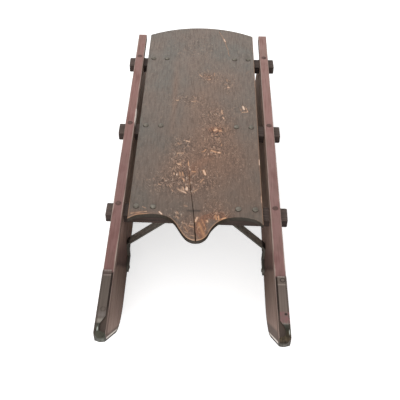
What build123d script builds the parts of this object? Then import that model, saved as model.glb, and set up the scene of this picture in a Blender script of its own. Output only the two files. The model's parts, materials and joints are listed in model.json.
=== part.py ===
"""Wooden pull sled: a board deck on three cross beams, carried by two iron-shod runners.

Millimetres. +Z up, the toes point to -Y, and the origin is on the floor under the middle of the sled.
"""

import os
from math import cos, radians, sin, tan

from build123d import *

os.makedirs("parts", exist_ok=True)

# overall sizes
sled_length = 1016.0  # toe tip to the top of the deck's rear arc
sled_width = 340.0  # over the runners' outer faces
front_y = -sled_length / 2
rear_y = sled_length / 2
rail_top_z = 180.0
middle_y = 85.0  # the middle beam, from which the stations along the sled are counted

# cross beams, let into the runners, with their ends standing out as pegs
beams = [  # name, y, turn from square in degrees
    ("front", middle_y - 262.5, -0.5),
    ("middle", middle_y, 0.4),
    ("rear", middle_y + 274.0, 1.0),
]
beam_station = {name: y for name, y, turn in beams}
beam_width = 35.0
beam_height = 20.0
peg_length = 16.0
peg_chamfer = 1.2
beam_length = sled_width + 2 * peg_length

# runner planks, and the rails that lie on them and on the beams
runner_thickness = 21.0
runner_x = (sled_width - runner_thickness) / 2
inner_face_x = sled_width / 2 - runner_thickness
rail_height = 17.0
rail_chamfer = 0.8
beam_top_z = rail_top_z - rail_height
beam_bottom_z = beam_top_z - beam_height
rake_angle = 50.0  # slope of the toe's straight front
knuckle_radius = 165.0  # round stretch between the sole and the rake
heel_top_y = middle_y + 286.0
heel_shoulder_y = heel_top_y + 33.0  # below the rear beam the plank stands out, then slopes to the sole
heel_bottom_y = heel_top_y + 89.0
heel_radius = 24.0

# iron shoes: one flat bar along the sole, up the rake, round the tip and back along the rail
shoe_thickness = 3.0
shoe_top_z = rail_top_z + shoe_thickness
tip_radius = 2.5  # side view
nose_length = 16.0  # the tip is solid iron for this length
nose_sides = (6.0, 16.0)  # seen from above, how far back the pointed tip's inner and outer sides start
nose_point_x = 6.5  # the point, from the runner's inner face
nose_round = 4.0
nose_sharp_y = front_y - 2.5  # where the tip's sides would meet if it wasn't rounded
strap_width = 17.0
neck_width = 9.0
strap_taper = (middle_y - 541.0, middle_y - 556.0)  # where the strap narrows to its neck
neck_front_y = middle_y - 571.0
shoe_heel_top_z = 16.0  # how far the bar turns up round the heel

# deck board, which lies a little left of the middle
deck_x = -2.0
deck_width = 273.0
deck_thickness = 11.0
deck_edge_radius = 1.5
rear_corner_y = {"left": middle_y + 384.0, "right": middle_y + 386.0}  # where its rear arc starts
front_edge = [  # x from the board's middle, y from the middle beam; scallop, nose, scallop
    (-136.5, -296.5),
    (-122.0, -286.8),
    (-104.0, -283.0),
    (-86.0, -281.6),
    (-66.0, -284.6),
    (-50.0, -293.0),
    (-39.5, -305.5),
    (-31.0, -321.5),
    (-20.5, -339.0),
    (-9.0, -348.6),
    (3.0, -350.6),
    (14.5, -346.8),
    (24.2, -335.6),
    (30.5, -320.8),
    (39.5, -306.4),
    (54.0, -293.4),
    (72.0, -286.8),
    (92.0, -285.0),
    (112.0, -288.0),
    (127.0, -295.0),
    (136.5, -304.5),
]
crack = [  # one split from the nose inwards: x from the board's middle, y from the middle beam, width
    (1.9, -352.0, 2.4),
    (-0.5, -321.0, 1.6),
    (-3.3, -284.5, 1.2),
    (-9.2, -233.0, 1.0),
    (-15.3, -178.5, 0.7),
    (-16.7, -150.0, 0.2),
]

# braces: flat iron bars from under the front beam to the foot of each runner
brace_width = 18.0
brace_thickness = 4.5
brace_pad_length = 26.0  # the flat end under the beam
brace_bend_radius = 12.0
foot_front_y = middle_y - 305.0
foot_bottom_z = 8.0
foot_height = 20.0

# what differs between the sides: end of the rail, end of the strap, upper and lower bend of the brace
sides = [  # name, sign, rail_rear_y, strap_rear_y, pad_end_x, brace_bend_z
    ("left", -1, middle_y + 374.0, middle_y - 437.0, 62.0, 64.5),
    ("right", 1, middle_y + 380.0, middle_y - 442.0, 71.5, 61.0),
]


def draw_runner_side(inset):
    """Draws the runner and rail in side view, in the open sketch.

    The line is the iron's outer one, moved in by inset.
    """
    top = shoe_top_z - inset
    rake = radians(rake_angle)
    # the rounded tip stands back from the sharp corner of the two lines that it joins
    corner_y = front_y - tip_radius * (1 / tan(rake / 2) - 1)
    knuckle_rise = knuckle_radius * (1 - cos(rake))
    knuckle_y = corner_y + (shoe_top_z - knuckle_rise) / tan(rake) + knuckle_radius * sin(rake)
    radius = knuckle_radius - inset
    rake_start = (knuckle_y - radius * sin(rake), knuckle_radius - radius * cos(rake))
    sharp_tip = (rake_start[0] - (top - rake_start[1]) / tan(rake), top)
    sole_end = (heel_bottom_y, inset)
    heel_top = [(heel_top_y, top), (heel_top_y, beam_bottom_z), (heel_shoulder_y, beam_bottom_z)]
    with BuildLine(Plane.XY) as outline:
        Line(sole_end, (knuckle_y, inset))
        CenterArc((knuckle_y, knuckle_radius), radius, -90, -rake_angle)
        Polyline(rake_start, sharp_tip, *heel_top, sole_end)
    make_face(outline.edges())
    if inset < tip_radius:
        fillet(vertices().sort_by(Axis.X)[0], tip_radius - inset)
    fillet(vertices().group_by(Axis.Y)[0].sort_by(Axis.X)[-1], heel_radius - inset)


def side_band(low_y, high_y, low_z, high_z, mode):
    """Rectangle between two stations along the sled and two heights, in the open side-view sketch."""
    with Locations(((low_y + high_y) / 2, (low_z + high_z) / 2)):
        Rectangle(high_y - low_y, high_z - low_z, mode=mode)


def cross_bar(mode=Mode.ADD):
    """Full length bar at the open location, as long, wide and high as a cross beam."""
    return Box(beam_length, beam_width, beam_height, mode=mode)


# deck board
rear_left = (-deck_width / 2, rear_corner_y["left"])
rear_right = (deck_width / 2, rear_corner_y["right"])
deck_front = [(x, middle_y + y) for x, y in front_edge]
with BuildPart() as deck_board:
    with BuildSketch(Plane((deck_x, 0, beam_top_z))) as deck_plan:
        with BuildLine():
            Spline(*deck_front)
            Line(deck_front[-1], rear_right)
            ThreePointArc(rear_right, (0, rear_y), rear_left)
            Line(rear_left, deck_front[0])
        make_face()
    extrude(amount=deck_thickness)
    fillet(deck_board.edges().group_by(Axis.Z)[-1], deck_edge_radius)
    with BuildSketch(Plane((deck_x, middle_y, beam_top_z))) as crack_plan:
        with BuildLine():
            left_lip = [(x - width / 2, y) for x, y, width in crack]
            right_lip = [(x + width / 2, y) for x, y, width in crack]
            Polyline(*left_lip, *reversed(right_lip), close=True)
        make_face()
    extrude(amount=deck_thickness, mode=Mode.SUBTRACT)
deck_board.part.label = "deck_board"
export_step(deck_board.part, "parts/deck_board.step")

# cross beams
beam_middle_z = (beam_top_z + beam_bottom_z) / 2
beam_places = [Location((0, y, beam_middle_z), (0, 0, turn)) for name, y, turn in beams]
for (name, y, turn), place in zip(beams, beam_places):
    with BuildPart() as beam:
        with Locations(place):
            cross_bar()
        ends = beam.faces().sort_by(Axis.X)
        chamfer((ends[0] + ends[-1]).edges(), peg_chamfer)
    beam.part.label = f"crossbeam_{name}"
    export_step(beam.part, f"parts/crossbeam_{name}.step")

for side, sign, rail_rear_y, strap_rear_y, pad_end_x, brace_bend_z in sides:
    middle_plane = Plane.YZ.offset(sign * runner_x)

    # runner plank, notched for the beams
    with BuildPart() as runner:
        with BuildSketch(middle_plane):
            draw_runner_side(shoe_thickness)
            side_band(front_y + nose_length, rear_y, 0, beam_top_z, Mode.INTERSECT)
        extrude(amount=runner_thickness / 2, both=True)
        with Locations(beam_places):
            cross_bar(mode=Mode.SUBTRACT)
    runner.part.label = f"runner_{side}"
    export_step(runner.part, f"parts/runner_{side}.step")

    # rail, which holds the beams down in their notches
    with BuildPart() as rail:
        with BuildSketch(middle_plane):
            draw_runner_side(shoe_thickness)
            side_band(front_y + nose_length, heel_top_y, beam_top_z, rail_top_z, Mode.INTERSECT)
            side_band(heel_top_y, rail_rear_y, beam_top_z, rail_top_z, Mode.ADD)
        extrude(amount=runner_thickness / 2, both=True)
        chamfer(rail.faces().sort_by(Axis.Z)[-1].edges().filter_by(Axis.Y), rail_chamfer)
    rail.part.label = f"rail_{side}"
    export_step(rail.part, f"parts/rail_{side}.step")

    # iron shoe
    outer_x = sign * sled_width / 2
    inner_x = sign * inner_face_x
    with BuildPart() as shoe:
        with BuildSketch(middle_plane):
            draw_runner_side(0)
        extrude(amount=runner_thickness / 2, both=True)
        with BuildSketch(middle_plane):
            draw_runner_side(shoe_thickness)
            side_band(front_y + nose_length, rear_y, 0, shoe_top_z, Mode.INTERSECT)
        extrude(amount=runner_thickness / 2, both=True, mode=Mode.SUBTRACT)
        with BuildSketch(middle_plane):
            side_band(strap_rear_y, rear_y, rail_top_z, shoe_top_z, Mode.ADD)
            side_band(heel_bottom_y - heel_radius, rear_y, shoe_heel_top_z, shoe_top_z, Mode.ADD)
        extrude(amount=runner_thickness / 2, both=True, mode=Mode.SUBTRACT)
        # the strap along the rail keeps to the outer edge and narrows to a neck before the tip
        with BuildSketch(Plane.XY.offset(rail_top_z)):
            with BuildLine():
                Polyline(
                    (inner_x, strap_rear_y),
                    (outer_x - sign * strap_width, strap_rear_y),
                    (outer_x - sign * strap_width, strap_taper[0]),
                    (outer_x - sign * neck_width, strap_taper[1]),
                    (outer_x - sign * neck_width, neck_front_y),
                    (inner_x, front_y + nose_length),
                    close=True,
                )
            make_face()
        extrude(amount=shoe_thickness, mode=Mode.SUBTRACT)
        # the tip is pointed, seen from above
        with BuildSketch(Plane.XY) as tip_plan:
            with BuildLine():
                Polyline(
                    (inner_x, rear_y),
                    (inner_x, front_y + nose_sides[0]),
                    (inner_x + sign * nose_point_x, nose_sharp_y),
                    (outer_x, front_y + nose_sides[1]),
                    (outer_x, rear_y),
                    close=True,
                )
            make_face()
            fillet(tip_plan.vertices().sort_by(Axis.Y)[:3], nose_round)
        extrude(amount=shoe_top_z, mode=Mode.INTERSECT)
    shoe.part.label = f"shoe_{side}"
    export_step(shoe.part, f"parts/shoe_{side}.step")

    # brace: a bar bent in the plane of the front beam, with its foot turned forward along the runner
    with BuildPart() as brace:
        pad_z = beam_bottom_z - brace_thickness / 2
        wall_x = inner_face_x - brace_thickness / 2
        beam_plane = Plane((0, beam_station["front"], 0), x_dir=(1, 0, 0), z_dir=(0, -1, 0))
        with BuildSketch(beam_plane):
            with BuildLine():
                FilletPolyline(
                    (sign * (pad_end_x - brace_pad_length), pad_z),
                    (sign * pad_end_x, pad_z),
                    (sign * wall_x, brace_bend_z),
                    (sign * wall_x, foot_bottom_z),
                    radius=brace_bend_radius,
                )
            trace(line_width=brace_thickness)
        extrude(amount=brace_width / 2, both=True)
        with BuildSketch(Plane.YZ.offset(sign * wall_x)) as foot_side:
            side_band(
                foot_front_y, beam_station["front"], foot_bottom_z, foot_bottom_z + foot_height, Mode.ADD
            )
            fillet(foot_side.vertices().group_by(Axis.X)[0], foot_height / 2 - 0.5)
        extrude(amount=brace_thickness / 2, both=True)
    brace.part.label = f"brace_{side}"
    export_step(brace.part, f"parts/brace_{side}.step")
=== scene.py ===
import bpy
import json
import math
import numpy as np
from mathutils import Matrix, Vector


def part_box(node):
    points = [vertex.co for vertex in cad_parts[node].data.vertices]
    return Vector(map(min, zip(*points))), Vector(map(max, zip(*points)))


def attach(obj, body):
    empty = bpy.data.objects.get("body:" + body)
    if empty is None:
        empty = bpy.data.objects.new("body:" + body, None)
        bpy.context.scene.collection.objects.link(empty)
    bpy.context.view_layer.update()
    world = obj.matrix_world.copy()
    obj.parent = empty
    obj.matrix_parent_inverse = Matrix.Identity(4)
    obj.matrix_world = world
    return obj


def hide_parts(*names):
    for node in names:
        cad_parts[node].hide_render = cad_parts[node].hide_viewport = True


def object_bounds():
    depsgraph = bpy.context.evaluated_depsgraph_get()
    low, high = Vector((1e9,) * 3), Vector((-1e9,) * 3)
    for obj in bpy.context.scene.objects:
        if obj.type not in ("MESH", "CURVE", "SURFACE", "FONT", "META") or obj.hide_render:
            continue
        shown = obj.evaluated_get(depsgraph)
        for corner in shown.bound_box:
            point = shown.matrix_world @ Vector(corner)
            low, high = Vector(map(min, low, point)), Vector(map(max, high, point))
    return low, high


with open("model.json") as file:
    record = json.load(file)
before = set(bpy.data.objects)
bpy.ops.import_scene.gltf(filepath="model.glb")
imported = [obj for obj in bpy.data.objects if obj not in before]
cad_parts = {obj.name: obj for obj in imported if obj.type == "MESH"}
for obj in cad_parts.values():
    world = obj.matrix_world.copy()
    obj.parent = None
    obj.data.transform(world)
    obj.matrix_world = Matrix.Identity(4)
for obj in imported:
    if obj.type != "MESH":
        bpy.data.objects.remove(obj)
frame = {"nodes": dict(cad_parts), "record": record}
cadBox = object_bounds()
nodes = frame["nodes"]
mm = 0.001


# where the sled's own pieces are, read from the frame

def middleOf(node, axis):
    low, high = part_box(node)
    return (low[axis] + high[axis]) / 2


beamTurn = {"front": -0.5, "middle": 0.4, "rear": 1.0}  # degrees that each beam is turned from square
beamY = {place: middleOf("crossbeam_" + place, 1) for place in beamTurn}
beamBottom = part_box("crossbeam_middle")[0].z
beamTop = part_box("crossbeam_middle")[1].z
railX = middleOf("rail_right", 0)
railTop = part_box("rail_right")[1].z
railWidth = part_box("rail_right")[1].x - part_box("rail_right")[0].x
innerFace = railX - railWidth / 2
deckLow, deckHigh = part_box("deck_board")
deckMiddle = (deckLow.x + deckHigh.x) / 2
toeY = cadBox[0].y
rakeAngle = 50.0  # degrees that the toe's straight front slopes
rakeFoot = (toeY - 2.9 * mm, cadBox[1].z)  # y and z where that slope would meet the top


# camera

cameraFacts = {
    "place": (11.9 * mm, -1173.3 * mm, 1195.5 * mm),
    "down": 45.08,  # degrees below level
    "turn": 0.32,
    "roll": 1.27,
    "lens": 63.0,
}


def makeCamera(facts):
    data = bpy.data.cameras.new("sledCamera")
    data.lens = facts["lens"]
    data.sensor_width = 36.0
    camera = bpy.data.objects.new("sledCamera", data)
    bpy.context.scene.collection.objects.link(camera)
    camera.matrix_world = (
        Matrix.Translation(facts["place"])
        @ Matrix.Rotation(math.radians(facts["turn"]), 4, "Z")
        @ Matrix.Rotation(math.radians(90 - facts["down"]), 4, "X")
        @ Matrix.Rotation(math.radians(facts["roll"]), 4, "Z"))
    bpy.context.scene.camera = camera


makeCamera(cameraFacts)
print("camera set")


# colours and nodes

def hexColor(text):
    # sRGB hex to the linear colour that a shader socket takes
    channels = [int(text[i:i + 2], 16) / 255 for i in (1, 3, 5)]
    return [c / 12.92 if c <= 0.04045 else ((c + 0.055) / 1.055) ** 2.4 for c in channels] + [1.0]


def addNode(tree, kind, inputs=None, out=0, stops=None, **settings):
    # one node with its settings and links; an input is a plain value, a hex colour or the socket that
    # feeds it, and out is the output that comes back
    made = tree.nodes.new("ShaderNode" + kind)
    for name, value in settings.items():
        setattr(made, name, value)
    for name, value in (inputs or {}).items():
        if isinstance(value, bpy.types.NodeSocket):
            tree.links.new(value, made.inputs[name])
        else:
            made.inputs[name].default_value = hexColor(value) if isinstance(value, str) else value
    for place, (position, color) in enumerate(stops or []):
        steps = made.color_ramp.elements
        step = steps[place] if place < 2 else steps.new(position)
        step.position = position
        step.color = hexColor(color)
    return made.outputs[out] if len(made.outputs) else made


def startMaterial(name):
    material = bpy.data.materials.new(name)
    material.use_nodes = True
    material.node_tree.nodes.clear()
    tree = material.node_tree
    return material, tree, addNode(tree, "TexCoord", out="Object")


def perSize(*millimetres):
    # Mapping scale at which one noise blob is this many millimetres along x, y and z
    return [1 / (size * mm) for size in millimetres]


# floor, background and lamps

studio = {
    "floorSize": 12.0,
    "floorGlow": 0.60,  # what the camera sees on top of the lit floor, so that it stays pale
    "ambient": 0.74,
    "lamps": [  # name, place, aim, size, watts
        ("windowLamp", (-0.9, 1.2, 2.4), (0, 0.1, 0.1), 1.2, 11.0),
        ("doorLamp", (-0.4, -2.6, 1.0), (0, 0.0, 0.1), 1.4, 28.0),
    ],
}


def makeStudio(facts):
    half = facts["floorSize"] / 2
    mesh = bpy.data.meshes.new("floor")
    mesh.from_pydata([
        (-half, -half, 0), (half, -half, 0), (half, half, 0), (-half, half, 0)], [], [(0, 1, 2, 3)])
    floor = bpy.data.objects.new("floor", mesh)
    bpy.context.scene.collection.objects.link(floor)
    # matt white paper: lit by the lamps, and a little brighter to the camera so that it stays white
    material, tree, place = startMaterial("mattPaper")
    lit = addNode(tree, "BsdfDiffuse", {"Color": (0.86, 0.86, 0.86, 1)})
    seen = addNode(tree, "LightPath", out="Is Camera Ray")
    strength = addNode(tree, "Math", {0: seen, 1: facts["floorGlow"]}, operation="MULTIPLY")
    glow = addNode(tree, "Emission", {"Color": (1, 1, 1, 1), "Strength": strength})
    addNode(tree, "OutputMaterial", {"Surface": addNode(tree, "AddShader", {0: lit, 1: glow})})
    mesh.materials.append(material)

    world = bpy.data.worlds.new("whiteRoom")
    bpy.context.scene.world = world
    world.use_nodes = True
    tree = world.node_tree
    tree.nodes.clear()
    rays = ("Camera", "Glossy", "Transmission")
    seen = [addNode(tree, "LightPath", out=f"Is {ray} Ray") for ray in rays]
    bright = addNode(tree, "Math", {0: seen[0], 1: seen[1]}, operation="ADD")
    bright = addNode(tree, "Math", {0: bright, 1: seen[2]}, operation="ADD", use_clamp=True)
    strength = addNode(tree, "MapRange", {"Value": bright, "To Min": facts["ambient"], "To Max": 1.0})
    background = addNode(tree, "Background", {"Color": (1, 1, 1, 1), "Strength": strength})
    addNode(tree, "OutputWorld", {"Surface": background})

    for name, place, aim, size, watts in facts["lamps"]:
        data = bpy.data.lights.new(name, "AREA")
        data.shape = "DISK"
        data.size = size
        data.energy = watts
        lamp = bpy.data.objects.new(name, data)
        bpy.context.scene.collection.objects.link(lamp)
        lamp.location = place
        lamp.rotation_euler = (Vector(place) - Vector(aim)).to_track_quat("Z", "Y").to_euler()
    bpy.context.scene.view_settings.view_transform = "Standard"


makeStudio(studio)
print("floor, background and lamps set")


# materials

def chalkyMilkPaint():
    # ash strip under oxblood milk paint, brushed on and rubbed thin by hands: chalky pink along the top,
    # bare and pale at the edges
    material, tree, place = startMaterial("chalkyMilkPaint")
    # brush marks are under 1 mm wide, drawn 2.5 mm so that they show
    streakSpace = addNode(tree, "Mapping", {"Vector": place, "Scale": perSize(2.5, 70, 2.5)})
    streaks = addNode(tree, "TexNoise", {
        "Vector": streakSpace, "Scale": 1, "Detail": 5, "Roughness": 0.6})
    cloudSpace = addNode(tree, "Mapping", {"Vector": place, "Scale": perSize(26, 60, 26)})
    clouds = addNode(tree, "TexNoise", {"Vector": cloudSpace, "Scale": 1, "Detail": 4})
    x, y, z = (addNode(tree, "SeparateXYZ", {"Vector": place}, out=axis) for axis in "XYZ")
    along = addNode(tree, "MapRange", {"Value": y, "From Min": -0.35, "From Max": 0.45})
    paint = addNode(tree, "ValToRGB", {"Fac": along}, stops=[
        (0.0, "#896662"), (0.18, "#906f6a"), (0.36, "#957570"), (0.62, "#a07b75"), (0.85, "#a3827b")])
    tone = addNode(tree, "ValToRGB", {"Fac": clouds}, stops=[
        (0.3, "#e3dad8"), (0.5, "#ffffff"), (0.62, "#f2f6f2"), (0.75, "#e6ece6")])
    paint = addNode(tree, "Mix", {
        0: 1.0, 6: paint, 7: tone}, out=2, data_type="RGBA", blend_type="MULTIPLY")
    brushed = addNode(tree, "ValToRGB", {"Fac": streaks}, stops=[(0.3, "#dcd3d0"), (0.5, "#ffffff")])
    paint = addNode(tree, "Mix", {
        0: 1.0, 6: paint, 7: brushed}, out=2, data_type="RGBA", blend_type="MULTIPLY")
    left = addNode(tree, "MapRange", {"Value": x, "From Min": 1 * mm, "From Max": -1 * mm})
    paint = addNode(tree, "Mix", {
        0: left, 6: paint, 7: "#f4efef"}, out=2, data_type="RGBA", blend_type="MULTIPLY")
    wornWood = addNode(tree, "ValToRGB", {"Fac": streaks}, stops=[(0.3, "#958478"), (0.7, "#bfaca1")])
    # how far from the rail's middle line, so that both long edges wear and the side faces are bare
    across = addNode(tree, "Math", {0: x}, operation="ABSOLUTE")
    offLine = addNode(tree, "Math", {0: across, 1: railX}, operation="SUBTRACT")
    offLine = addNode(tree, "Math", {0: offLine}, operation="ABSOLUTE")
    edge = addNode(tree, "MapRange", {"Value": offLine, "From Min": 6.8 * mm, "From Max": 10.4 * mm})
    ragged = addNode(tree, "Math", {0: streaks, 1: 0.5}, operation="SUBTRACT")
    ragged = addNode(tree, "Math", {
        0: ragged, 1: 2.2, 2: edge}, operation="MULTIPLY_ADD", use_clamp=True)
    worn = addNode(tree, "MapRange", {
        "Value": ragged, "From Min": 0.45, "From Max": 0.9, "To Max": 0.85})
    color = addNode(tree, "Mix", {0: worn, 6: paint, 7: wornWood}, out=2, data_type="RGBA")
    # below the arris the inner side is as dark as the plank under it
    below = addNode(tree, "MapRange", {
        "Value": z, "From Min": railTop - 1.0 * mm, "From Max": railTop - 1.8 * mm})
    inward = addNode(tree, "MapRange", {
        "Value": across, "From Min": railX - 5 * mm, "From Max": railX - 9 * mm})
    soaked = addNode(tree, "Math", {0: below, 1: inward}, operation="MULTIPLY")
    color = addNode(tree, "Mix", {0: soaked, 6: color, 7: "#705a50"}, out=2, data_type="RGBA")
    # dirt gathers beside the iron straps, with painted shade in the corner at the straps' raised edge
    ahead = addNode(tree, "MapRange", {
        "Value": y, "From Min": toeY + 155 * mm, "From Max": toeY + 150 * mm})
    beside = addNode(tree, "MapRange", {
        "Value": across, "From Min": innerFace + 0.5 * mm, "From Max": innerFace + 0.9 * mm})
    dirtAndShade = addNode(tree, "Math", {0: ahead, 1: beside}, operation="MULTIPLY")
    toTip = addNode(tree, "MapRange", {"Value": y, "From Min": toeY + 100 * mm, "From Max": toeY})
    dirtAndShadeColor = addNode(tree, "ValToRGB", {"Fac": toTip}, stops=[
        (0.2, "#30251f"), (0.36, "#4e423b"), (0.50, "#51443c"), (0.64, "#4b3f38")])
    color = addNode(tree, "Mix", {0: dirtAndShade, 6: color, 7: dirtAndShadeColor}, out=2, data_type="RGBA")
    # a long splinter has come off the left rail's inner side behind the middle beam
    tornFrom = addNode(tree, "Math", {0: y, 1: beamY["middle"] + 27 * mm}, operation="SUBTRACT")
    tornFrom = addNode(tree, "Math", {0: tornFrom}, operation="ABSOLUTE")
    torn = addNode(tree, "MapRange", {"Value": tornFrom, "From Min": 30 * mm, "From Max": 22 * mm})
    inner = addNode(tree, "Math", {0: x, 1: -innerFace - 1.5 * mm}, operation="GREATER_THAN")
    torn = addNode(tree, "Math", {0: torn, 1: inner}, operation="MULTIPLY")
    torn = addNode(tree, "Math", {0: torn, 1: left}, operation="MULTIPLY")
    color = addNode(tree, "Mix", {0: torn, 6: color, 7: "#efe2d8"}, out=2, data_type="RGBA")
    bump = addNode(tree, "Bump", {"Height": streaks, "Strength": 0.35, "Distance": 0.4 * mm})
    shader = addNode(tree, "BsdfPrincipled", {
        "Base Color": color, "Roughness": 0.75, "Specular IOR Level": 0.25, "Normal": bump})
    addNode(tree, "OutputMaterial", {"Surface": shader})
    return material


def milkPaintWithPaintedShadow():
    # oak plank under oxblood milk paint, brushed on and rubbed down to the wood's own brown at the toe,
    # with the board's shadow painted in: darkest a little behind the straps' rear ends, and a dull brown
    # further back, painted paler there to offset the shade between board and plank
    material, tree, place = startMaterial("milkPaintWithPaintedShadow")
    # oak's grain is 1 to 2 mm wide, drawn 4 to 5 mm so that it shows
    grainSpace = addNode(tree, "Mapping", {"Vector": place, "Scale": perSize(4, 80, 5)})
    grain = addNode(tree, "TexNoise", {"Vector": grainSpace, "Scale": 1, "Detail": 6, "Roughness": 0.6})
    cloudSpace = addNode(tree, "Mapping", {"Vector": place, "Scale": perSize(40, 55, 26)})
    clouds = addNode(tree, "TexNoise", {"Vector": cloudSpace, "Scale": 1, "Detail": 3})
    x, y, z = (addNode(tree, "SeparateXYZ", {"Vector": place}, out=axis) for axis in "XYZ")
    # the painted shadow's edge and the worn paint follow slanting lines: further back at the sole than at
    # the rail
    slant = addNode(tree, "Math", {0: z, 1: 0.80, 2: y}, operation="MULTIPLY_ADD")
    slant = addNode(tree, "Math", {0: clouds, 1: 20 * mm, 2: slant}, operation="MULTIPLY_ADD")
    paintFrom, paintTo = -340 * mm, 360 * mm
    along = addNode(tree, "MapRange", {"Value": slant, "From Min": paintFrom, "From Max": paintTo})
    paint = addNode(tree, "ValToRGB", {"Fac": along}, stops=[
        (0.011, "#aa948a"), (0.057, "#958077"), (0.126, "#837066"), (0.214, "#745f54"), (0.226, "#4c3934"),
        (0.240, "#604a43"), (0.272, "#674f48"), (0.350, "#9a8177"), (0.411, "#a1887d"), (0.491, "#a78e80"),
        (0.566, "#b39a8a"), (0.9, "#ac9484")])
    # the outer face has kept its paint along its whole length
    across = addNode(tree, "Math", {0: x}, operation="ABSOLUTE")
    outer = addNode(tree, "MapRange", {
        "Value": across, "From Min": railX + 9.4 * mm, "From Max": railX + 10.2 * mm})
    kept = addNode(tree, "ValToRGB", {"Fac": clouds}, stops=[(0.3, "#74544d"), (0.7, "#8d6b63")])
    paint = addNode(tree, "Mix", {0: outer, 6: paint, 7: kept}, out=2, data_type="RGBA")
    tone = addNode(tree, "ValToRGB", {"Fac": grain}, stops=[
        (0.3, "#c9bfb9"), (0.5, "#f2ece8"), (0.7, "#ffffff")])
    color = addNode(tree, "Mix", {
        0: 1.0, 6: paint, 7: tone}, out=2, data_type="RGBA", blend_type="MULTIPLY")
    # rings round a knot low in the toe, 5.2 mm apart
    knotY, knotZ = -447 * mm, 128 * mm
    knot = addNode(tree, "Mapping", {
        "Vector": place, "Location": (0, -knotY, -knotZ), "Scale": (0, 1, 1)})
    away = addNode(tree, "VectorMath", {0: knot}, out="Value", operation="LENGTH")
    rings = addNode(tree, "Math", {0: away, 1: 2 * math.pi / (5.2 * mm)}, operation="MULTIPLY")
    rings = addNode(tree, "Math", {0: rings}, operation="SINE")
    near = addNode(tree, "MapRange", {
        "Value": away, "From Min": 34 * mm, "From Max": 12 * mm, "To Max": 0.30})
    ringed = addNode(tree, "Math", {0: rings, 1: near}, operation="MULTIPLY", use_clamp=True)
    color = addNode(tree, "Mix", {0: ringed, 6: color, 7: "#b8a297"}, out=2, data_type="RGBA")
    # up the slope of the toe, where the wood's edge meets the iron
    slope = math.radians(rakeAngle)
    inside = addNode(tree, "VectorMath", {
        0: place, 1: (0, math.sin(slope), math.cos(slope))}, out="Value", operation="DOT_PRODUCT")
    edgeOn = rakeFoot[0] * math.sin(slope) + rakeFoot[1] * math.cos(slope)
    # where dirt has soaked in behind it, further on the right toe than on the left
    reach = addNode(tree, "MapRange", {
        "Value": x, "From Min": -1 * mm, "From Max": 1 * mm,
        "To Min": edgeOn + 11 * mm, "To Max": edgeOn + 24 * mm})
    soaked = addNode(tree, "Math", {0: reach, 1: inside}, operation="SUBTRACT")
    soaked = addNode(tree, "MapRange", {
        "Value": soaked, "From Min": -2 * mm, "From Max": 4 * mm, "To Max": 0.9})
    color = addNode(tree, "Mix", {0: soaked, 6: color, 7: "#6c5e57"}, out=2, data_type="RGBA")
    soaked = addNode(tree, "MapRange", {
        "Value": y, "From Min": toeY + 44 * mm, "From Max": toeY + 30 * mm, "To Max": 0.55})
    color = addNode(tree, "Mix", {0: soaked, 6: color, 7: "#5d5048"}, out=2, data_type="RGBA")
    # painted highlight: a pale line along the wood's edge against the iron
    rim = addNode(tree, "MapRange", {
        "Value": inside, "From Min": edgeOn + 6.8 * mm, "From Max": edgeOn + 5.4 * mm})
    color = addNode(tree, "Mix", {0: rim, 6: color, 7: "#f2e8de"}, out=2, data_type="RGBA")
    bump = addNode(tree, "Bump", {"Height": grain, "Strength": 0.4, "Distance": 0.5 * mm})
    shader = addNode(tree, "BsdfPrincipled", {
        "Base Color": color, "Roughness": 0.8, "Specular IOR Level": 0.15, "Normal": bump})
    addNode(tree, "OutputMaterial", {"Surface": shader})
    return material


def sawnOak():
    # sawn oak, unpainted and blackened with age; its grain runs across the sled
    material, tree, place = startMaterial("sawnOak")
    grainSpace = addNode(tree, "Mapping", {"Vector": place, "Scale": perSize(60, 3, 3)})
    grain = addNode(tree, "TexNoise", {
        "Vector": grainSpace, "Scale": 1, "Detail": 6, "Roughness": 0.65})
    color = addNode(tree, "ValToRGB", {"Fac": grain}, stops=[
        (0.3, "#372b26"), (0.55, "#54443c"), (0.75, "#6d5c53")])
    # painted light: the tops are lighter and the sides darker, as light from above leaves them
    z = addNode(tree, "SeparateXYZ", {"Vector": place}, out="Z")
    top = addNode(tree, "MapRange", {
        "Value": z, "From Min": beamTop - 1.6 * mm, "From Max": beamTop - 0.4 * mm})
    shade = addNode(tree, "ValToRGB", {"Fac": top}, stops=[(0.0, "#b5aaa6"), (1.0, "#ffffff")])
    color = addNode(tree, "Mix", {
        0: 1.0, 6: color, 7: shade}, out=2, data_type="RGBA", blend_type="MULTIPLY")
    bump = addNode(tree, "Bump", {"Height": grain, "Strength": 0.4, "Distance": 0.5 * mm})
    shader = addNode(tree, "BsdfPrincipled", {"Base Color": color, "Roughness": 0.68, "Normal": bump})
    addNode(tree, "OutputMaterial", {"Surface": shader})
    return material


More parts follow.
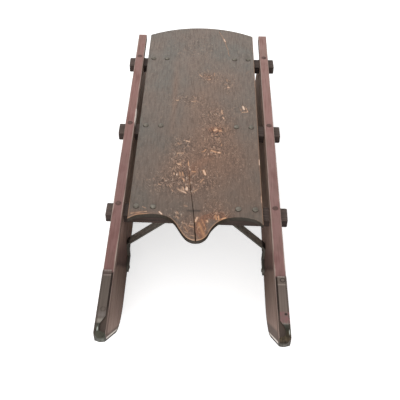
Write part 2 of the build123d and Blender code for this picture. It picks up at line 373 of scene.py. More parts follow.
def crazedShellacElm():
    # elm board under shellac, brushed on, crazed and gone grey: dull, with painted shade that darkens it to
    # the front, and rubbed through to orange and pale wood
    material, tree, place = startMaterial("crazedShellacElm")
    # elm's grain is 1 to 2 mm wide, drawn 4 mm so that it shows
    grainSpace = addNode(tree, "Mapping", {"Vector": place, "Scale": perSize(3.8, 30, 5)})
    grain = addNode(tree, "TexNoise", {"Vector": grainSpace, "Scale": 1, "Detail": 5, "Roughness": 0.6})
    cloudSpace = addNode(tree, "Mapping", {"Vector": place, "Scale": perSize(60, 110, 60)})
    clouds = addNode(tree, "TexNoise", {"Vector": cloudSpace, "Scale": 1, "Detail": 3})
    scuff, rubbed, warm, cut, side = (
        addNode(tree, "Attribute", out="Fac", attribute_name=name)
        for name in ("scuff", "rubbed", "warm", "cut", "side"))
    grey = addNode(tree, "ValToRGB", {"Fac": clouds}, stops=[
        (0.35, "#79756e"), (0.5, "#80766d"), (0.68, "#85776d")])
    brown = addNode(tree, "ValToRGB", {"Fac": clouds}, stops=[(0.35, "#937563"), (0.68, "#9d7c66")])
    color = addNode(tree, "Mix", {0: warm, 6: grey, 7: brown}, out=2, data_type="RGBA")
    flush = addNode(tree, "MapRange", {
        "Value": warm, "From Min": 0.93, "From Max": 1.0, "To Max": 0.45})
    color = addNode(tree, "Mix", {0: flush, 6: color, 7: "#b07350"}, out=2, data_type="RGBA")
    y = addNode(tree, "SeparateXYZ", {"Vector": place}, out="Y")
    # painted shade: the board darkens towards the front, away from the light behind
    front = addNode(tree, "MapRange", {
        "Value": y, "From Min": beamY["front"], "From Max": beamY["rear"]})
    paintedFrontShade = addNode(tree, "ValToRGB", {"Fac": front}, stops=[(0.0, "#d3cac3"), (1.0, "#ffffff")])
    color = addNode(tree, "Mix", {
        0: 1.0, 6: color, 7: paintedFrontShade}, out=2, data_type="RGBA", blend_type="MULTIPLY")
    tone = addNode(tree, "ValToRGB", {"Fac": grain}, stops=[
        (0.3, "#cdc7c3"), (0.52, "#f6f4f3"), (0.65, "#ffffff")])
    color = addNode(tree, "Mix", {
        0: 1.0, 6: color, 7: tone}, out=2, data_type="RGBA", blend_type="MULTIPLY")
    # crazed lines: the level curves of a soft noise; real ones are hair-thin, too fine to show, so these
    # are drawn 1 to 2 mm wide
    craze = addNode(tree, "Mapping", {"Vector": place, "Scale": perSize(8.5, 18, 12)})
    craze = addNode(tree, "TexNoise", {"Vector": craze, "Scale": 1, "Detail": 2, "Distortion": 0.7})
    craze = addNode(tree, "Math", {0: craze, 1: 5.5}, operation="MULTIPLY")
    craze = addNode(tree, "Math", {0: craze, 1: 0.5}, operation="PINGPONG")
    pale = addNode(tree, "MapRange", {"Value": craze, "From Min": 0.145, "From Max": 0.04})
    dark = addNode(tree, "MapRange", {"Value": craze, "From Min": 0.28, "From Max": 0.42})
    rubbed = addNode(tree, "MapRange", {"Value": rubbed, "To Min": 0.12, "To Max": 1.0})
    pale = addNode(tree, "Math", {0: pale, 1: rubbed}, operation="MULTIPLY")
    dark = addNode(tree, "Math", {0: dark, 1: rubbed}, operation="MULTIPLY")
    # the lines are broken into short ticks, a few mm long, some rubbed much paler than others
    tickSpace = addNode(tree, "Mapping", {
        "Vector": place, "Scale": perSize(7, 9, 7), "Location": (3, 5, 0)})
    ticks = addNode(tree, "TexNoise", {"Vector": tickSpace, "Scale": 1, "Detail": 2})
    broken = addNode(tree, "MapRange", {"Value": ticks, "From Min": 0.36, "From Max": 0.50})
    pale = addNode(tree, "Math", {0: pale, 1: broken}, operation="MULTIPLY")
    line = addNode(tree, "ValToRGB", {"Fac": ticks}, stops=[
        (0.42, "#8d6b55"), (0.57, "#b08b71"), (0.70, "#e6ccb6")])
    color = addNode(tree, "Mix", {0: dark, 6: color, 7: "#453125"}, out=2, data_type="RGBA")
    color = addNode(tree, "Mix", {0: pale, 6: color, 7: line}, out=2, data_type="RGBA")
    bare = addNode(tree, "ValToRGB", {"Fac": scuff}, stops=[
        (0.22, "#a07a5e"), (0.45, "#c8a185"), (0.85, "#f4dfcc")])
    orange = addNode(tree, "MapRange", {
        "Value": warm, "From Min": 0.65, "From Max": 1.0, "To Max": 0.5})
    bare = addNode(tree, "Mix", {0: orange, 6: bare, 7: "#cd8a50"}, out=2, data_type="RGBA")
    cover = addNode(tree, "MapRange", {"Value": scuff, "From Min": 0.10, "From Max": 0.42})
    color = addNode(tree, "Mix", {0: cover, 6: color, 7: bare}, out=2, data_type="RGBA")
    color = addNode(tree, "Mix", {0: cut, 6: color, 7: "#372920"}, out=2, data_type="RGBA")
    # the board's side faces are dark, and the split's bottom is painted dark as shade
    edge = addNode(tree, "ValToRGB", {"Fac": grain}, stops=[
        (0.3, "#272019"), (0.55, "#352d23"), (0.75, "#40362b")])
    color = addNode(tree, "Mix", {0: side, 6: color, 7: edge}, out=2, data_type="RGBA")
    bump = addNode(tree, "Bump", {"Height": grain, "Strength": 0.35, "Distance": 0.4 * mm})
    shader = addNode(tree, "BsdfPrincipled", {"Base Color": color, "Roughness": 0.58, "Normal": bump})
    addNode(tree, "OutputMaterial", {"Surface": shader})
    return material


strapFacts = {
    "rearY": {"left": -352 * mm, "right": -357 * mm},
    "length": 160.0,  # mm that the colour bands cover, from the strap's rear end forwards
    "tipFrom": 20 * mm,  # over this last stretch the strap's colours go round the whole bar
    # mm ahead of the rear end, and the iron's colour there: lip, clenched recess painted dark as shade,
    # worn bar, neck and tip
    "leftBands": [
        (0, "#968780"), (2, "#968780"), (3.2, "#6b5d56"), (6.5, "#6b5d56"), (7.5, "#4b3b35"),
        (9.5, "#4b3b35"), (11, "#7e7068"), (13.5, "#7e7068"), (15, "#5f544c"), (90, "#62574f"),
        (102, "#746b66"), (107, "#675e57"), (113, "#8f877e"), (117, "#857d74"), (120, "#45443b"),
        (126, "#54534a"), (132, "#46453b"), (149, "#4b4a40"), (152.5, "#6f7069")],
    "rightBands": [
        (0, "#9a8c84"), (2, "#9a8c84"), (3.2, "#71645b"), (17.5, "#71645b"), (18.6, "#94867d"),
        (20.2, "#94867d"), (21.5, "#6e6159"), (75, "#76685f"), (101, "#7b6d66"), (105, "#8a817a"),
        (108, "#42423a"), (116, "#34352c"), (128, "#504637"), (140, "#5c5040"), (145, "#403a31"),
        (149, "#74706a")],
    # mm ahead of the right strap's rear end, where it keeps patches of the rail's paint
    "paintLeft": (80, 104),
    # painted highlights, glints where the light catches the iron: x, y in mm, and length
    "glints": [(-164, -483, 9), (-157.5, -481, 8), (167.5, -480, 11)],
    # x, y, z in mm, and how dark the ring of dirt and painted shade is
    "screws": [(-159, -441, 183, 0.35), (162.5, -366, 183, 0.8), (163.7, -442, 183, 0.0)],
    "screwRadius": 4.3 * mm,
}


def hammeredWroughtIron(facts):
    # wrought iron bar, hammered, rusted and worn smooth: grey-brown with bright edges, and black-green
    # where it meets the snow
    material, tree, place = startMaterial("hammeredWroughtIron")
    # scratches and pits are under 1 mm wide, drawn 4 mm so that they show
    streakSpace = addNode(tree, "Mapping", {"Vector": place, "Scale": perSize(4, 90, 30)})
    streaks = addNode(tree, "TexNoise", {
        "Vector": streakSpace, "Scale": 1, "Detail": 4, "Roughness": 0.55})
    pitSpace = addNode(tree, "Mapping", {"Vector": place, "Scale": perSize(4, 10, 10)})
    pits = addNode(tree, "TexNoise", {"Vector": pitSpace, "Scale": 1, "Detail": 5, "Roughness": 0.62})
    x, y, z = (addNode(tree, "SeparateXYZ", {"Vector": place}, out=axis) for axis in "XYZ")
    bar = addNode(tree, "ValToRGB", {"Fac": pits}, stops=[
        (0.3, "#2b241f"), (0.5, "#3b322b"), (0.72, "#50443a")])
    bands = {}
    for side in ("left", "right"):
        rearY = facts["rearY"][side]
        ahead = addNode(tree, "MapRange", {
            "Value": y, "From Min": rearY, "From Max": rearY - facts["length"] * mm})
        stops = [(distance / facts["length"], color) for distance, color in facts[side + "Bands"]]
        bands[side] = addNode(tree, "ValToRGB", {"Fac": ahead}, stops=stops)
    right = addNode(tree, "Math", {0: x, 1: 0.0}, operation="GREATER_THAN")
    strap = addNode(tree, "Mix", {
        0: right, 6: bands["left"], 7: bands["right"]}, out=2, data_type="RGBA")
    tone = addNode(tree, "ValToRGB", {"Fac": streaks}, stops=[(0.3, "#d9d5d2"), (0.62, "#ffffff")])
    strap = addNode(tree, "Mix", {
        0: 1.0, 6: strap, 7: tone}, out=2, data_type="RGBA", blend_type="MULTIPLY")
    # the edge towards the board is rubbed bright as far as the tip, and the outer one is dark
    across = addNode(tree, "Math", {0: x}, operation="ABSOLUTE")
    tip = addNode(tree, "MapRange", {
        "Value": y, "From Min": toeY + 44 * mm, "From Max": toeY + 34 * mm})
    bright = addNode(tree, "MapRange", {
        "Value": across, "From Min": railX - 6.4 * mm, "From Max": railX - 7.6 * mm, "To Max": 0.45})
    behind = addNode(tree, "Math", {0: 1.0, 1: tip}, operation="SUBTRACT")
    bright = addNode(tree, "Math", {0: bright, 1: behind}, operation="MULTIPLY")
    dull = addNode(tree, "MapRange", {
        "Value": across, "From Min": railX + 6.0 * mm, "From Max": railX + 8.0 * mm, "To Max": 0.6})
    strap = addNode(tree, "Mix", {0: bright, 6: strap, 7: "#a3968d"}, out=2, data_type="RGBA")
    strap = addNode(tree, "Mix", {0: dull, 6: strap, 7: "#453b35"}, out=2, data_type="RGBA")
    painted = addNode(tree, "MapRange", {
        "Value": pits, "From Min": 0.34, "From Max": 0.54, "To Max": 0.9})
    for distance, further in zip(facts["paintLeft"], (-1, 1)):
        start = facts["rearY"]["right"] - distance * mm
        within = addNode(tree, "MapRange", {
            "Value": y, "From Min": start - further * 2 * mm, "From Max": start + further * 2 * mm})
        painted = addNode(tree, "Math", {0: painted, 1: within}, operation="MULTIPLY")
    painted = addNode(tree, "Math", {0: painted, 1: right}, operation="MULTIPLY")
    strap = addNode(tree, "Mix", {0: painted, 6: strap, 7: "#845c5c"}, out=2, data_type="RGBA")
    # at the tip the scale has flaked into small pits, and glints are painted on in streaks as highlights
    pitted = addNode(tree, "MapRange", {
        "Value": pits, "From Min": 0.50, "From Max": 0.38, "To Max": 0.6})
    pitted = addNode(tree, "Math", {0: pitted, 1: tip}, operation="MULTIPLY")
    strap = addNode(tree, "Mix", {0: pitted, 6: strap, 7: "#191a15"}, out=2, data_type="RGBA")
    for glintX, glintY, length in facts["glints"]:
        squash = 2 / length
        gap = addNode(tree, "Mapping", {
            "Vector": place, "Location": (-glintX * mm, -glintY * mm * squash, 0), "Scale": (1, squash, 0)})
        gap = addNode(tree, "VectorMath", {0: gap}, out="Value", operation="LENGTH")
        glint = addNode(tree, "MapRange", {
            "Value": gap, "From Min": 1.3 * mm, "From Max": 0.6 * mm, "To Max": 0.55})
        strap = addNode(tree, "Mix", {0: glint, 6: strap, 7: "#dcdfd6"}, out=2, data_type="RGBA")
    onTop = addNode(tree, "MapRange", {
        "Value": z, "From Min": railTop + 2.2 * mm, "From Max": railTop + 2.8 * mm})
    lump = addNode(tree, "MapRange", {
        "Value": y, "From Min": toeY + facts["tipFrom"], "From Max": toeY + facts["tipFrom"] - 4 * mm})
    shown = addNode(tree, "Math", {0: onTop, 1: lump}, operation="MAXIMUM")
    color = addNode(tree, "Mix", {0: shown, 6: bar, 7: strap}, out=2, data_type="RGBA")
    # each countersunk screw is a disc in a ring of dirt and painted shade
    ring = 0.0
    for *spot, dirtAndShade in facts["screws"]:
        gap = addNode(tree, "VectorMath", {
            0: place, 1: [c * mm for c in spot]}, out="Value", operation="DISTANCE")
        if dirtAndShade:
            gap = addNode(tree, "Math", {0: gap, 1: facts["screwRadius"]}, operation="SUBTRACT")
            gap = addNode(tree, "Math", {0: gap}, operation="ABSOLUTE")
            gap = addNode(tree, "MapRange", {
                "Value": gap, "From Min": 1.7 * mm, "From Max": 0.6 * mm, "To Max": dirtAndShade})
        # the lost screw's empty hole is painted dark as shade
        else:  # this one is lost, which leaves its hole
            gap = addNode(tree, "MapRange", {"Value": gap, "From Min": 3.2 * mm, "From Max": 2.2 * mm})
        ring = addNode(tree, "Math", {0: ring, 1: gap}, operation="MAXIMUM")
    color = addNode(tree, "Mix", {0: ring, 6: color, 7: "#332823"}, out=2, data_type="RGBA")
    height = addNode(tree, "Math", {0: ring, 1: -0.8, 2: pits}, operation="MULTIPLY_ADD")
    bump = addNode(tree, "Bump", {"Height": height, "Strength": 0.4, "Distance": 0.5 * mm})
    rough = addNode(tree, "MapRange", {"Value": tip, "To Min": 0.62, "To Max": 0.45})
    sheen = addNode(tree, "MapRange", {"Value": tip, "To Min": 0.35, "To Max": 0.12})
    shader = addNode(tree, "BsdfPrincipled", {
        "Base Color": color, "Metallic": 0.25, "Roughness": rough, "Specular IOR Level": sheen,
        "Normal": bump})
    addNode(tree, "OutputMaterial", {"Surface": shader})
    return material


def ironSkin(name, dark, middle, pale, roughness, metallic=0.3, legShade=0.0):
    # wrought iron, forged and left bare: smooth lumps under a dull skin of brown oxide and dust; with
    # metallic 0 the same lumps are matt and near black: painted shade, with some dirt packed against the
    # iron
    material, tree, place = startMaterial(name)
    pitSpace = addNode(tree, "Mapping", {"Vector": place, "Scale": perSize(8, 8, 8)})
    pits = addNode(tree, "TexNoise", {"Vector": pitSpace, "Scale": 1, "Detail": 5, "Roughness": 0.6})
    skin = addNode(tree, "ValToRGB", {"Fac": pits}, stops=[(0.34, dark), (0.5, middle), (0.7, pale)])
    # painted shade, near black, on the legs that lie against the planks
    if legShade:  # on the legs that lie against the planks
        x = addNode(tree, "SeparateXYZ", {"Vector": place}, out="X")
        across = addNode(tree, "Math", {0: x}, operation="ABSOLUTE")
        leg = addNode(tree, "MapRange", {
            "Value": across, "From Min": innerFace - 9 * mm, "From Max": innerFace - 6 * mm,
            "To Max": legShade})
        skin = addNode(tree, "Mix", {0: leg, 6: skin, 7: "#1d1814"}, out=2, data_type="RGBA")
        # painted shade: the bars' front edges are darker too
        y = addNode(tree, "SeparateXYZ", {"Vector": place}, out="Y")
        front = addNode(tree, "MapRange", {
            "Value": y, "From Min": beamY["front"] - 7.9 * mm, "From Max": beamY["front"] - 8.4 * mm})
        skin = addNode(tree, "Mix", {0: front, 6: skin, 7: "#58534b"}, out=2, data_type="RGBA")
    bump = addNode(tree, "Bump", {"Height": pits, "Strength": 0.35, "Distance": 0.4 * mm})
    shader = addNode(tree, "BsdfPrincipled", {
        "Base Color": skin, "Metallic": metallic, "Roughness": roughness, "Normal": bump})
    addNode(tree, "OutputMaterial", {"Surface": shader})
    return material


finishes = {
    "deck_wood": crazedShellacElm(),
    "beam_wood": sawnOak(),
    "runner_wood": milkPaintWithPaintedShadow(),
    "rail_paint": chalkyMilkPaint(),
    "shoe_iron": hammeredWroughtIron(strapFacts),
    # the brace iron's pale colours offset the shade under the board: painted light
    "brace_iron": ironSkin("oxidisedIronWithPaintedLight", "#918a82", "#a69f95", "#b8b0a5", 0.65, legShade=0.9),
}
boltSkin = ironSkin("varnishedBoltIron", "#5b554b", "#6e675c", "#817b70", 0.42)
screwSkin = ironSkin("rustedScrewIron", "#4a3531", "#60463f", "#745852", 0.62)
# painted shade, with some dirt, at the front of the deck bolts' heads
shadeAndGrimeSkin = ironSkin("paintedShadeAndGrime", "#262019", "#332b24", "#443a31", 0.8, metallic=0.0)
print("materials made")


# new pieces

def addPiece(name, grids, material, replaced=(), attributes=None):
    # grids[k, i, j] is point j round ring i of copy k: each ring is joined to the next, and both end
    # rings are closed flat
    copies, rings, around = grids.shape[:3]
    ring = around * np.arange(rings - 1)[:, None]
    step = np.arange(around)[None, :]
    ahead = (step + 1) % around
    quads = np.stack([
        ring + step, ring + ahead, ring + around + ahead, ring + around + step], axis=-1).reshape(-1, 4)
    points = grids[0].reshape(-1, 3)
    corners = (points - points.mean(axis=0))[quads]
    volume = np.einsum("ij,ij->", np.cross(corners[:, 0], corners[:, 1]), corners[:, 2])
    ends = np.stack([np.arange(around)[::-1], (rings - 1) * around + np.arange(around)])
    if volume < 0:  # faces point outwards
        quads, ends = quads[:, ::-1], ends[:, ::-1]
    shift = rings * around * np.arange(copies)[:, None, None]
    faces = (quads[None] + shift).reshape(-1, 4).tolist()
    faces += (ends[None] + shift).reshape(-1, around).tolist()
    mesh = bpy.data.meshes.new(name)
    mesh.from_pydata(grids.reshape(-1, 3), [], faces)
    for key, values in (attributes or {}).items():
        attribute = mesh.attributes.new(key, "FLOAT", "POINT")
        attribute.data.foreach_set("value", values.astype(np.float32).ravel())
    mesh.shade_smooth()
    mesh.set_sharp_from_angle(angle=math.radians(38))
    mesh.materials.append(material)
    piece = bpy.data.objects.new(name, mesh)
    bpy.context.scene.collection.objects.link(piece)
    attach(piece, "root")
    if replaced:
        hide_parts(*replaced)
    return piece


def turned(profile, places, power=2.0, sides=24):
    # a profile of (radius, height) in mm, carried round an axis: at each angle the radius is multiplied by
    # (|cos| ** power + |sin| ** power) ** (-1 / power), so that power 2 is round and 12 is square
    profile = np.array(profile) * mm
    angle = np.linspace(0, 2 * math.pi, sides, endpoint=False)
    reach = (np.abs(np.cos(angle)) ** power + np.abs(np.sin(angle)) ** power) ** (-1 / power)
    flat = profile[:, :1] * reach
    local = np.stack([
        flat * np.cos(angle), flat * np.sin(angle), np.broadcast_to(profile[:, 1:], flat.shape)],
        axis=-1)
    copies = []
    for place, axis, spin in places:
        turn = Vector(axis).to_track_quat("Z", "Y").to_matrix() @ Matrix.Rotation(spin, 3, "Z")
        copies.append(local @ np.array(turn).T + np.array(place))
    return np.array(copies)


def dome(radius, height, skirt, steps=6):
    # quarter ellipse from the skirt up to a small flat at the crown
    angle = np.linspace(0, math.radians(88), steps)
    return [(radius, -1.0)] + [(radius * math.cos(a), skirt + height * math.sin(a)) for a in angle]


deckFacts = {  # mm; lengths along the board are counted from the middle beam
    "halfWidth": 136.5,
    "rearApex": 422.98,
    "rearCorner": 385.0,
    "grid": 2.3,  # spacing of the mesh's points
    "arris": 1.5,
    "splitDepth": 9.5,
    # x from the board's middle, y from the middle beam: scallop, nose, scallop
    "frontEdge": [
        (-136.5, -296.5), (-122, -286.8), (-104, -283), (-86, -281.6), (-66, -284.6), (-50, -293),
        (-39.5, -305.5), (-31, -321.5), (-20.5, -339), (-9, -348.6), (3, -350.6), (14.5, -346.8),
        (24.2, -335.6), (30.5, -320.8), (39.5, -306.4), (54, -293.4), (72, -286.8), (92, -285),
        (112, -288), (127, -295), (136.5, -304.5)],
    # x, y and width of the split, from the nose inwards
    "split": [
        (1.9, -352, 2.0), (-0.5, -321, 0.9), (-3.3, -284.5, 0.6), (-9.2, -233, 0.4),
        (-15.3, -178.5, 0.25), (-16.7, -150, 0.0)],
    # dark scratches, as the scuffs are listed
    "cuts": [
        (-4, -271, 25, 2, 0, 6.0, 1.0), (30, -234, 23, 4, 0, 2.0, 0.45),
        (80, -91, 11, 28, 0, 2.2, 0.40), (76, -100, 9, -50, 0, 2.2, 0.35),
        (-18, -296, 18, -75, 30, 5.0, 0.45), (24, -330, 14, -70, 0, 4.0, 0.45),
        (-2, -330, 16, -60, 0, 4.0, 0.45), (-42, -296, 14, -50, 0, 4.0, 0.40)],
    # scuffs down to bare wood: x, y, length, heading and bend in degrees, width, strength
    "scuffs": [
        (53, 388, 42, -71, 0, 2.8, 0.48), (65, 343, 50, -79, 8, 2.8, 0.52),
        (61, 364, 12, -75, 0, 3.6, 0.85), (71, 304, 31, -83, 0, 2.8, 0.42),
        (1, 200, 14, -58, 20, 2.4, 0.60), (22, 184, 8, 24, 60, 2.6, 0.66),
        (16, 200, 26, -42, 170, 2.2, 0.42), (35, 207, 17, -87, 30, 2.2, 0.45),
        (68, 183, 20, -64, 240, 2.2, 0.46), (66, 160, 24, -58, -200, 2.2, 0.44),
        (70, 153, 4, 0, 0, 3.2, 0.80), (119, 219, 18, 56, -40, 2.2, 0.38),
        (-47, 105, 22, 56, 0, 2.2, 0.36), (-53, 96, 5, 10, 0, 3.0, 0.66),
        (-14, 94, 14, 9, 110, 2.6, 0.62), (-14, 108, 26, 95, 220, 2.2, 0.36),
        (105, 73, 12, -80, 0, 4.2, 0.95), (108, 57, 15, 7, 0, 2.6, 0.70),
        (113, 65, 13, -80, 0, 2.4, 0.58), (98, 66, 10, -83, 0, 2.4, 0.48),
        (54, 55, 15, -88, 20, 3.0, 0.72), (57, 33, 8, -79, 0, 3.0, 0.76),
        (38, 44, 22, -70, 140, 2.0, 0.34), (20, 46, 24, -80, -120, 2.0, 0.32),
        (39, -12, 7, 29, 0, 4.0, 1.00), (50, -15, 5, -10, 0, 3.4, 0.74),
        (32, -30, 18, -80, 60, 2.2, 0.40), (44, -42, 30, -86, -30, 2.2, 0.38),
        (52, -56, 26, -86, 20, 2.2, 0.40), (-23, -54, 10, -26, 0, 3.0, 0.76),
        (-19, -50, 12, 70, 0, 2.2, 0.44), (-43, -63, 12, -64, 160, 2.4, 0.46),
        (14, -86, 14, 42, 80, 2.6, 0.54), (35, -86, 14, -27, 0, 3.0, 0.78),
        (47, -90, 4, -20, 0, 3.8, 0.98), (-38, -95, 14, 5, 0, 2.8, 0.76),
        (-46, -104, 14, 60, 90, 2.2, 0.46), (-35, -126, 22, 52, 0, 2.0, 0.46),
        (-39, -133, 18, -42, 0, 2.0, 0.46), (-39, -131, 5, 0, 0, 3.4, 0.84),
        (-19, -129, 15, -86, 0, 2.4, 0.58), (16, -156, 15, -74, 0, 3.8, 1.00),
        (-7, -154, 9, -3, 0, 2.6, 0.64), (-36, -163, 13, -84, 0, 2.4, 0.58),
        (-30, -162, 13, -84, 0, 2.4, 0.60), (-49, -162, 6, -80, 0, 2.8, 0.62),
        (-28, -180, 10, -72, 0, 2.8, 0.64), (-78, -196, 5, -29, 0, 2.8, 0.46),
        (-68, -180, 30, 67, 120, 2.0, 0.32), (-15, -183, 43, -87, 0, 2.0, 0.40),
        (11, -182, 14, 60, 0, 2.4, 0.58), (-35, -212, 10, -33, 0, 2.8, 0.74),
        (-26, -217, 11, -28, 0, 3.2, 0.86), (-20, -207, 9, -88, 0, 3.6, 0.98),
        (-27, -207, 9, -84, 0, 2.4, 0.58), (-5, -215, 6, 44, 0, 2.4, 0.56),
        (0, -210, 6, 61, 0, 2.4, 0.56), (-56, -201, 6, -66, 0, 2.4, 0.42),
        (-50, -214, 6, -52, 0, 2.4, 0.46), (-21, -258, 6, -5, 0, 3.2, 0.48),
        (-105, -265, 10, -30, 0, 2.4, 0.42), (-71, -279, 8, -48, 0, 3.0, 0.86),
        (-36, -278, 6, -62, 0, 2.8, 0.50), (-36, -290, 9, -49, 0, 2.8, 0.52),
        (-25, -304, 4, -52, 0, 2.8, 0.52), (-18, -322, 18, -60, 0, 2.6, 0.36),
        (-8, -314, 9, -16, 0, 2.6, 0.56), (-4, -339, 15, -8, 0, 2.6, 0.42),
        (2, -295, 13, 72, 0, 3.4, 0.80), (24, -299, 5, -64, 0, 3.4, 0.74),
        (41, -288, 14, -83, 0, 3.0, 0.55), (47, -289, 11, -84, 0, 3.0, 0.60),
        (57, -290, 10, 26, 0, 3.0, 0.62), (-115, -279, 34, 12, 0, 2.6, 0.55),
        (135.3, -119, 18, 90, 0, 2.2, 0.95), (135.3, -233, 22, 90, 0, 2.2, 0.60),
        (135.3, 181, 46, 90, 0, 2.2, 0.55), (13, -322, 38, -72, 0, 8.0, 0.32),
        (18, -310, 34, -72, 0, 3.0, 0.42), (5, -318, 30, -80, 0, 2.6, 0.30)],
    # x and how pale the rubbed front edge is there
    "frontRim": [
        (-136, 0.34), (-98, 0.32), (-92, 0.08), (-60, 0.12), (-34, 0.34), (0, 0.46), (30, 0.36), (50, 0.34),
        (66, 0.1), (136, 0.12)],
    # patches where the varnish is rubbed and crazed: x, y, reach across and along, strength
    "rubs": [
        (17, 195, 28, 28, 0.60), (68, 170, 20, 36, 0.60), (-22, 100, 44, 22, 0.55),
        (105, 66, 18, 18, 0.60), (36, 40, 40, 36, 0.75), (45, -12, 28, 16, 0.95),
        (42, -56, 24, 46, 0.95), (-28, -58, 28, 22, 0.85), (14, -90, 22, 18, 0.75),
        (-38, -125, 26, 44, 0.85), (-32, -168, 20, 24, 0.80), (-72, -188, 26, 26, 0.80),
        (-28, -210, 28, 18, 0.80), (20, -178, 30, 40, 0.80), (38, -258, 26, 24, 0.40),
        (84, -110, 28, 60, 0.45), (46, -284, 20, 12, 0.80), (14, -318, 13, 32, 0.60),
        (-18, -315, 14, 28, 0.65), (-40, -286, 14, 16, 0.80), (-10, 330, 60, 60, 0.25)],
    # patches where the bare orange wood tints the varnish: x, y, reach across and along, strength
    "warmth": [
        (42, -264, 26, 24, 0.45), (-60, 110, 7, 130, 0.40), (25, 60, 62, 190, 0.50),
        (30, -110, 70, 130, 0.60), (-30, -170, 46, 80, 0.60), (95, -150, 50, 120, 0.35),
        (45, -10, 30, 16, 0.30), (46, -286, 22, 12, 1.30), (13, -320, 14, 40, 1.30),
        (-16, -318, 18, 30, 0.80), (-115, -283, 30, 8, 0.90), (20, 195, 20, 20, 0.50)],
}


def smoothThrough(xs, points):
    # cubic Hermite curve through the points; its slope at each is the weighted mean of the slopes on
    # both sides
    px, py = np.array(points, dtype=float).T
    slope = np.gradient(py, px)
    k = np.clip(np.searchsorted(px, xs) - 1, 0, len(px) - 2)
    span = px[k + 1] - px[k]
    t = np.clip((xs - px[k]) / span, 0, 1)
    return ((2 * t ** 3 - 3 * t ** 2 + 1) * py[k] + (t ** 3 - 2 * t ** 2 + t) * span * slope[k]
            + (3 * t ** 2 - 2 * t ** 3) * py[k + 1] + (t ** 3 - t ** 2) * span * slope[k + 1])


def patches(x, y, rows):
    # sum of rounded hills, each exp(-(distance / reach) ** 2)
    total = np.zeros_like(x)
    for px, py, reachX, reachY, strength in rows:
        total += strength * np.exp(-((x - px) / reachX) ** 2 - ((y - py) / reachY) ** 2)
    return np.clip(total, 0, 1)


def strokes(x, y, rows):
    # each scuff is an arc; its strength falls off as exp(-(distance / (0.55 * width)) ** 2)
    best = np.zeros_like(x)
    for px, py, length, heading, bend, width, strength in rows:
        along = np.linspace(-0.5, 0.5, 13)
        angle = np.radians(heading + bend * along)
        middle = np.cumsum(np.stack([np.cos(angle), np.sin(angle)]), axis=1) * length / 13
        middle += np.array([[px], [py]]) - middle.mean(axis=1, keepdims=True)
        close = (np.abs(x - px) < length + 8) & (np.abs(y - py) < length + 8)
        gap = np.hypot(x[close][:, None] - middle[0], y[close][:, None] - middle[1]).min(axis=1)
        best[close] = np.maximum(best[close], strength * np.exp(-(gap / (0.55 * width)) ** 2))
    return best


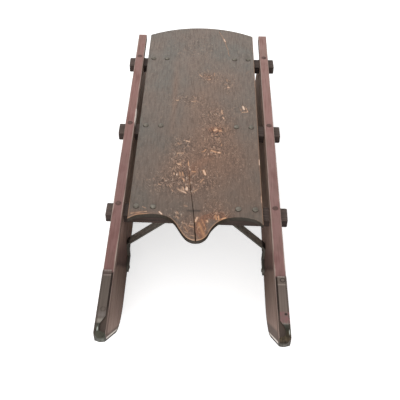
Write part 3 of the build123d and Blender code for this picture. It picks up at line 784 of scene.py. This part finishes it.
def makeDeckBoard(facts):
    # a grid of columns, which stand side by side across the board and lean to follow the split, and of
    # points round each column: up the front edge, along the top, down the rear edge and back below
    # x = side + (split's lip - side) * share, y = front + (rear - front) * t + inset,
    # z = height * thickness - arris drop - scuffs - depth in the split
    half, arris, grid = facts["halfWidth"], facts["arris"], facts["grid"]
    thick = (deckHigh.z - deckLow.z) / mm
    splitX, splitY, splitWidth = np.array(facts["split"], dtype=float).T
    # columns: share of the way from the side to the split's lip, and depth in the split; the middle one
    # is the split's bottom
    edgeInset = np.array([0.0, 0.3, 1.0, 2.2])
    share = np.linspace(4.0 / half, 1 - 0.5 / half, int(half / grid))
    share = np.concatenate([edgeInset / half, share, [1.0]])
    depth = np.append(np.zeros(len(share) - 1), 0.25)
    share = np.concatenate([share, [1.0], share[::-1]])[:, None]
    depth = np.concatenate([depth, [1.0], depth[::-1]])[:, None]
    sign = np.sign(np.arange(len(share)) - len(share) // 2)[:, None]

    # points of a column: share of the board's length, inset in mm, and height from the underside, 0, to
    # the top, 1, with the arris rounded to a quarter circle at both ends
    corner = np.array([0.0, 0.3, 1.0])
    roundShare = arris / thick
    lift = 1 - roundShare * (1 - np.sqrt(1 - (1 - corner / arris * 0.999).clip(0, 1) ** 2))
    rounded = list(zip(corner, lift))
    length = facts["rearApex"] - min(y for x, y in facts["frontEdge"])
    rows = [(0.0, 0.0, 0.0)] + [(0.0, inset, height) for inset, height in rounded]
    rows += [(t, 2.2 * (1 - 2 * t), 1.0) for t in np.linspace(0, 1, int(length / grid))]
    rows += [(1.0, -inset, height) for inset, height in rounded[::-1]]
    rows += [(t, 0.0, 0.0) for t in np.linspace(1, 0, 60)[:-1]]
    t, inset, height = np.array(rows).T
    onTop = height > 0.5

    # the rear edge is one arc, a little further back on the right
    sagitta = facts["rearApex"] - facts["rearCorner"]
    radius = (half ** 2 + sagitta ** 2) / (2 * sagitta)
    x = sign * (1 - share) * half + 0 * t
    for _ in range(3):  # x and y settle, because the front edge and the split each depend on the other
        front = smoothThrough(x, facts["frontEdge"])
        rear = facts["rearApex"] - radius + np.sqrt(radius ** 2 - x ** 2) + x / half
        y = front + (rear - front) * t + inset
        lipX = np.interp(y, splitY, splitX)
        lipGap = np.interp(y, splitY, splitWidth) / 2
        toLip = lipX + sign * (lipGap + 0.12)
        x = np.where(sign == 0, lipX, sign * half + (toLip - sign * half) * share)
    opened = np.clip(lipGap / 0.35, 0, 1)

    fromSide = half - np.abs(x)
    drop = arris * (1 - np.sqrt(1 - (1 - fromSide / arris).clip(0, 1) ** 2))
    scuff = strokes(x, y, facts["scuffs"])
    z = height * thick - onTop * (drop + 0.35 * scuff + depth * opened * facts["splitDepth"])

    # edges rubbed pale: the front one, by its distance across the slope of the outline, and both sides
    stations = np.linspace(-half, half, 400)
    slopes = np.gradient(smoothThrough(stations, facts["frontEdge"]), stations[1] - stations[0])
    last = len(stations) - 1
    place = np.clip(((x + half) / (2 * half) * last).astype(int), 0, last)
    fromFront = (y - front) / np.hypot(1, slopes[place])
    rimX, rimStrength = np.array(facts["frontRim"]).T
    rims = [
        np.exp(-(fromFront / 2.4) ** 2) * np.interp(x, rimX, rimStrength),
        np.exp(-((half - x) / 1.6) ** 2) * 0.42,
        np.exp(-((half + x) / 1.6) ** 2) * np.interp(y, [-260, -210], [0.42, 0.12])]
    onFace = (height < 1 - roundShare * 0.9) | (fromSide < 0.05) & (z < thick - arris * 0.9)
    attributes = {
        "scuff": np.maximum.reduce([scuff, *rims]) * onTop,
        "rubbed": patches(x, y, facts["rubs"]) * onTop,
        "warm": patches(x, y, facts["warmth"]) * onTop,
        "cut": strokes(x, y, facts["cuts"]) * onTop,
        # side: the board's side faces, and the split's bottom where shade is painted
        "side": np.maximum(np.where(onTop, depth * opened, 1.0), onFace),
    }
    points = np.stack([deckMiddle + x * mm, beamY["middle"] + y * mm, deckLow.z + z * mm], axis=-1)
    varnish = finishes["deck_wood"]
    return addPiece("deckBoard", points[None], varnish, ["deck_board"], attributes)


makeDeckBoard(deckFacts)
print("deck board made")


fastenerFacts = {  # mm
    "deckBoltX": (86.9, 121.5),  # from the board's middle line
    "deckBoltRadius": 6.1,
    "shadeAndGrimeShift": (-0.3, -1.3),  # x and y of the painted shade and dirt, from the middle of the bolt's head
    "railBoltRadius": 6.0,
    "nutHalf": 6.5,  # half the width across the flats
    "braceThickness": 4.5,
    "padScrewIn": 12.0,  # from the end of the pad under the beam
    "legScrewZ": 50.0,
    "footScrew": (11.0, 10.0),  # back and up from the foot's front lower corner
}


def makeFasteners(facts):
    up, down = (0, 0, 1), (0, 0, -1)
    randoms = np.random.default_rng(11)
    along = {place: math.tan(math.radians(turn)) for place, turn in beamTurn.items()}
    ends = [(place, side) for place in beamY for side in (-1, 1)]
    deckSpots = [(deckMiddle + side * x * mm, place) for place, side in ends for x in facts["deckBoltX"]]
    deckSpots = [(x, beamY[place] + x * along[place]) for x, place in deckSpots]
    railSpots = [(side * railX, beamY[place] + side * railX * along[place]) for place, side in ends]

    heads = [((x, y, deckHigh.z), up, 0.0) for x, y in deckSpots]
    head = dome(facts["deckBoltRadius"], 2.6, 0.6)
    addPiece("deckBoltHeads", turned(head, heads), boltSkin)
    # painted shade at the front of each head, where light from behind leaves a dark crescent, with some
    # dirt packed against it
    radius = facts["deckBoltRadius"] + 0.3
    shiftX, shiftY = (shift * mm for shift in facts["shadeAndGrimeShift"])
    shadeAndGrime = [((x + shiftX, y + shiftY, z), axis, spin) for (x, y, z), axis, spin in heads]
    addPiece("deckBoltShadeAndGrime", turned([
        (radius, -0.5), (radius, 0.25), (3.0, 0.4)], shadeAndGrime), shadeAndGrimeSkin)
    heads = [((x, y, railTop), up, 0.0) for x, y in railSpots]
    head = dome(facts["railBoltRadius"], 1.2, 0.3)
    addPiece("railBoltHeads", turned(head, heads), screwSkin)
    # square nuts on round washers under the beams, with the bolts' ends standing through
    iron = finishes["brace_iron"]
    washer = [(10.5, -0.5), (10.5, 1.6), (5.0, 1.9)]
    nutHalf = facts["nutHalf"]
    nut = [(nutHalf - 0.4, 1.4), (nutHalf, 2.0), (nutHalf, 5.8), (nutHalf - 1.2, 6.6), (3.4, 6.6)]
    stub = [(3.1, 5.0), (3.1, 8.6), (2.2, 9.4)]
    under = [((x, y, beamBottom), down, randoms.uniform(0, math.pi)) for x, y in deckSpots]
    addPiece("washers", turned(washer, under), iron)
    addPiece("squareNuts", turned(nut, under, power=12.0, sides=32), iron)
    addPiece("boltEnds", turned(stub, under, sides=16), iron)

    # braces: a screw up through each pad, a bolt through each leg and one at each foot
    braceScrews = []
    for name, side in (("left", -1), ("right", 1)):
        low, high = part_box("brace_" + name)
        padX = (low.x if side > 0 else high.x) + side * facts["padScrewIn"] * mm
        legFace = side * (innerFace - facts["braceThickness"] * mm)
        padFace = beamBottom - facts["braceThickness"] * mm
        braceScrews.append(((padX, beamY["front"], padFace), down, 0.0))
        braceScrews.append(((legFace, beamY["front"], facts["legScrewZ"] * mm), (-side, 0, 0), 0.0))
        footY, footZ = low.y + facts["footScrew"][0] * mm, low.z + facts["footScrew"][1] * mm
        braceScrews.append(((legFace, footY, footZ), (-side, 0, 0), 0.0))
    addPiece("braceScrews", turned(dome(5.0, 2.2, 0.4), braceScrews), iron)


makeFasteners(fastenerFacts)
print("bolts, nuts and screws made")


# the frame's own nodes: a finish by slot, and edges rounded a little as wear leaves them, in mm
slotOf = {row["node"]: row["material_slot"] for row in frame["record"]["subparts"]}
edgeWear = {
    "deck_wood": 0.8, "beam_wood": 1.2, "runner_wood": 1.2, "rail_paint": 1.0, "shoe_iron": 0.7,
    "brace_iron": 0.7}

for name, node in nodes.items():
    slot = slotOf[name]
    node.data.materials.clear()
    node.data.materials.append(finishes[slot])
    weld = node.modifiers.new("weld", "WELD")
    weld.merge_threshold = 0.005 * mm
    bevel = node.modifiers.new("wornEdges", "BEVEL")
    bevel.width = edgeWear[slot] * mm
    bevel.segments = 2
    bevel.limit_method = "ANGLE"
    bevel.angle_limit = math.radians(35)
print("frame dressed")
